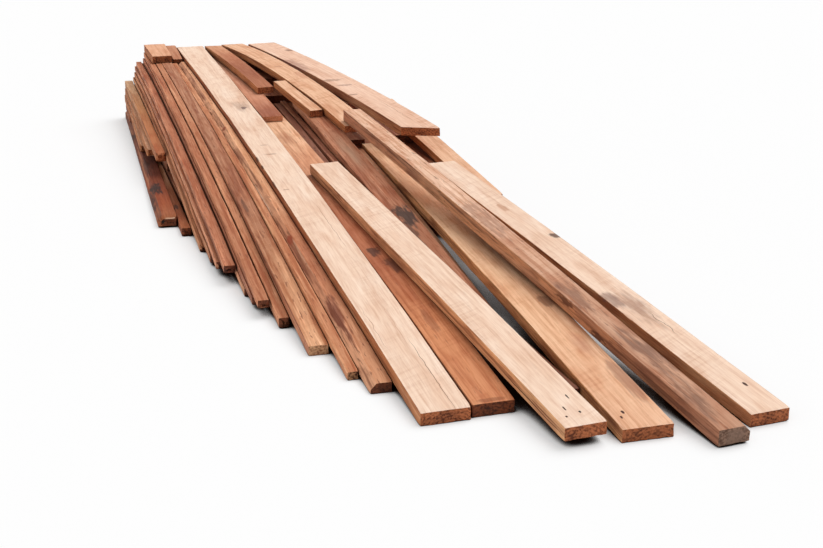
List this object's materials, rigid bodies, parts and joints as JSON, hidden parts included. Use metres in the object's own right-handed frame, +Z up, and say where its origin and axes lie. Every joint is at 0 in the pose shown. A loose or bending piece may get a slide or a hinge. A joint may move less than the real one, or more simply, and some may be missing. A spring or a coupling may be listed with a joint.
{
  "type": "stack of lumber",
  "caption": "Loose stack of long rough-sawn hardwood boards, piled up at one end and fanned out onto the ground at the other.",
  "frame": {"origin": "on the ground, under the middle of the stack's box", "axes": "+Y along the boards towards their stacked back ends, +X across the stack towards the fanned-out side, +Z up"},
  "size_m": [1.3686, 4.694, 0.3925],
  "materials": {
    "red_wood": "rough sawn, unfinished",
    "orange_wood": "rough sawn, unfinished",
    "pale_wood": "rough sawn, unfinished",
    "tan_wood": "rough sawn, unfinished",
    "grey_wood": "rough sawn, unfinished"
  },
  "bodies": {
    "root": {"core_row_1": "tan_wood", "core_row_2": "tan_wood", "core_row_3": "tan_wood", "core_row_4": "tan_wood", "core_row_5": "tan_wood", "core_row_6": "tan_wood", "core_row_7": "tan_wood", "core_row_8": "tan_wood", "core_row_9": "tan_wood", "side_board_01": "red_wood", "side_board_02": "orange_wood", "side_board_03": "pale_wood", "side_board_04": "pale_wood", "step_board": "orange_wood", "side_board_05": "pale_wood", "side_board_06": "orange_wood", "side_board_07": "red_wood", "side_board_08": "red_wood", "side_board_09": "red_wood", "side_board_10": "orange_wood", "side_board_11": "red_wood", "side_board_12": "red_wood", "top_rail": "tan_wood", "side_board_13": "orange_wood", "side_board_14": "pale_wood", "side_board_15": "orange_wood", "side_board_16": "red_wood", "back_rail": "tan_wood", "left_top_board": "pale_wood", "left_inner_board": "orange_wood", "orange_board": "orange_wood", "shade_board_1": "red_wood", "shade_board_2": "orange_wood", "stained_board": "tan_wood", "wedge_board": "orange_wood", "amber_board": "orange_wood", "right_under_board": "orange_wood", "pink_board": "grey_wood", "pale_board": "pale_wood", "inner_board": "tan_wood", "offcut": "pale_wood", "bearer_1": "tan_wood", "bearer_2": "pale_wood", "back_board": "pale_wood", "gap_board": "orange_wood", "cream_board": "pale_wood", "grey_plank": "grey_wood", "right_board": "pale_wood", "bowed_board": "tan_wood"}
  },
  "joints": []
}
